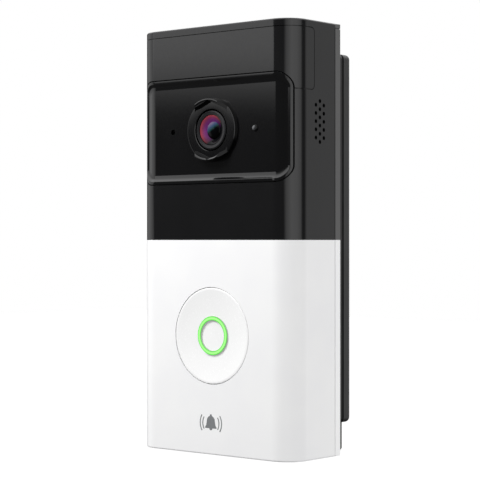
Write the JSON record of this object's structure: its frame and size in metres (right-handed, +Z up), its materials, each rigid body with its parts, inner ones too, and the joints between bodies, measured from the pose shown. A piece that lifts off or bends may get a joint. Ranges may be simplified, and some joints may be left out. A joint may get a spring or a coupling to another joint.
{
  "type": "video doorbell",
  "caption": "Slim wired video doorbell: black camera half over a white half with a dished button and lit ring, hung on a screw-on wall bracket by two hooks and a locking screw.",
  "frame": {"origin": "centre of the two wall screw holes, in the plane of the bracket's wall face", "axes": "+Z up, the wall face at y = 0 facing +Y, the visitor's side toward -Y, +X to the right as the visitor sees it"},
  "size_m": [0.0594, 0.0318, 0.125],
  "materials": {
    "black_housing": "satin moulded black",
    "white_faceplate": "satin moulded white",
    "smoked_window": "polished, passes infrared only",
    "black_bezel": "polished black",
    "black_hood": "polished black",
    "lens_barrel_grey": "anodised dark grey",
    "coated_glass": "coated glass",
    "clear_glass": "polished",
    "blackened_metal": "matte black anodised",
    "black_inner_plastic": "moulded",
    "magnet": "nickel plated",
    "copper": "bare copper",
    "sensor_glass": "cover glass over the chip",
    "circuit_board": "solder mask",
    "flex_circuit": "polyimide film",
    "plated_steel": "nickel plated",
    "black_rubber": "moulded",
    "light_pipe_clear": "clear acrylic over a grey sensor",
    "chip_black": "moulded chip package",
    "component_dark": "component sleeves and cases",
    "connector_ivory": "moulded",
    "led_clear": "clear epoxy",
    "speaker_film": "thin formed film",
    "acoustic_mesh": "woven acoustic mesh",
    "white_button": "satin moulded white",
    "green_light_ring": "frosted light pipe, lit green",
    "silicone_seal": "soft silicone",
    "chassis_plastic": "moulded dark grey",
    "brass_contact": "stamped",
    "terminal_steel": "zinc plated",
    "bracket_plastic": "moulded dark grey, fine texture"
  },
  "bodies": {
    "bracket": {"wall_bracket": "bracket_plastic"},
    "unit": {"upper_housing": "black_housing", "lower_faceplate": "white_faceplate", "top_window": "smoked_window", "camera_bezel": "black_bezel", "lens_hood": "black_hood", "lens_barrel": "lens_barrel_grey", "lens_front_element": "coated_glass", "lens_second_element": "clear_glass", "lens_rear_element": "clear_glass", "lens_spacer": "blackened_metal", "lens_rear_spacer": "blackened_metal", "lens_retaining_ring": "blackened_metal", "lens_holder": "black_inner_plastic", "ir_cut_coil": "copper", "image_sensor": "sensor_glass", "camera_board": "circuit_board", "sensor_flex": "flex_circuit", "microphone": "plated_steel", "mic_gasket": "black_rubber", "light_pipe": "light_pipe_clear", "light_sensor": "chip_black", "board_screws": "plated_steel", "main_board": "circuit_board", "rf_shield": "plated_steel", "processor": "chip_black", "power_components": "component_dark", "board_connectors": "connector_ivory", "ribbon_cable": "flex_circuit", "wifi_antenna": "copper", "ir_led_board": "circuit_board", "ir_leds": "led_clear", "speaker_frame": "black_inner_plastic", "speaker_magnet": "magnet", "speaker_gasket": "black_rubber", "grille_mesh": "acoustic_mesh", "switch_body": "black_inner_plastic", "ring_leds": "led_clear", "button_board": "circuit_board", "button_seal": "silicone_seal", "front_chassis": "chassis_plastic", "housing_gasket": "silicone_seal", "rear_housing": "chassis_plastic", "housing_screws": "plated_steel", "terminal_plates": "brass_contact"},
    "button": {"button_cap": "white_button", "button_light_ring": "green_light_ring", "button_centre": "white_button", "switch_plunger": "black_inner_plastic"},
    "filter": {"filter_slider": "black_inner_plastic", "ir_cut_filter": "coated_glass", "night_window": "clear_glass", "slider_magnet": "magnet"},
    "speaker_cone": {"speaker_cone": "speaker_film"},
    "lock_washer": {"locking_washer": "terminal_steel"},
    "lock_screw": {"locking_screw": "terminal_steel"},
    "left_washer": {"terminal_washer_left": "terminal_steel"},
    "left_screw": {"terminal_screw_left": "terminal_steel"},
    "right_washer": {"terminal_washer_right": "terminal_steel"},
    "right_screw": {"terminal_screw_right": "terminal_steel"}
  },
  "joints": [
    {"name": "unit_tilt", "type": "hinge", "parent": "bracket", "child": "unit", "pos_m": [0, -0.0071, 0.052], "axis": [-1, 0, 0], "range_deg": [0, 15]},
    {"name": "button_press", "type": "slide", "parent": "unit", "child": "button", "axis": [0, 1, 0], "range_m": [0, 0.0005], "stiffness_N_per_m": 1200, "springref_m": -0.0008},
    {"name": "ir_cut_shift", "type": "slide", "parent": "unit", "child": "filter", "axis": [-1, 0, 0], "range_m": [0, 0.0064]},
    {"name": "cone_stroke", "type": "slide", "parent": "unit", "child": "speaker_cone", "axis": [1, 0, 0], "range_m": [-0.0003, 0.0003], "stiffness_N_per_m": 500},
    {"name": "lock_washer_travel", "type": "slide", "parent": "unit", "child": "lock_washer", "axis": [0, 0, 1], "range_m": [0, 0.0018]},
    {"name": "lock_screw_turn", "type": "hinge", "parent": "lock_washer", "child": "lock_screw", "pos_m": [0, -0.009, -0.06], "axis": [0, 0, 1], "range_deg": [0, 1296]},
    {"name": "left_washer_travel", "type": "slide", "parent": "unit", "child": "left_washer", "axis": [0, 1, 0], "range_m": [0, 0.0012]},
    {"name": "left_screw_turn", "type": "hinge", "parent": "left_washer", "child": "left_screw", "pos_m": [-0.006, -0.0095, 0], "axis": [0, 1, 0], "range_deg": [0, 864]},
    {"name": "right_washer_travel", "type": "slide", "parent": "unit", "child": "right_washer", "axis": [0, 1, 0], "range_m": [0, 0.0012]},
    {"name": "right_screw_turn", "type": "hinge", "parent": "right_washer", "child": "right_screw", "pos_m": [0.006, -0.0095, 0], "axis": [0, 1, 0], "range_deg": [0, 864]}
  ],
  "couplings": [
    {"joint": "lock_screw_turn", "follows": "lock_washer_travel", "rad_per_m": 12566},
    {"joint": "left_screw_turn", "follows": "left_washer_travel", "rad_per_m": 12566},
    {"joint": "right_screw_turn", "follows": "right_washer_travel", "rad_per_m": 12566}
  ]
}
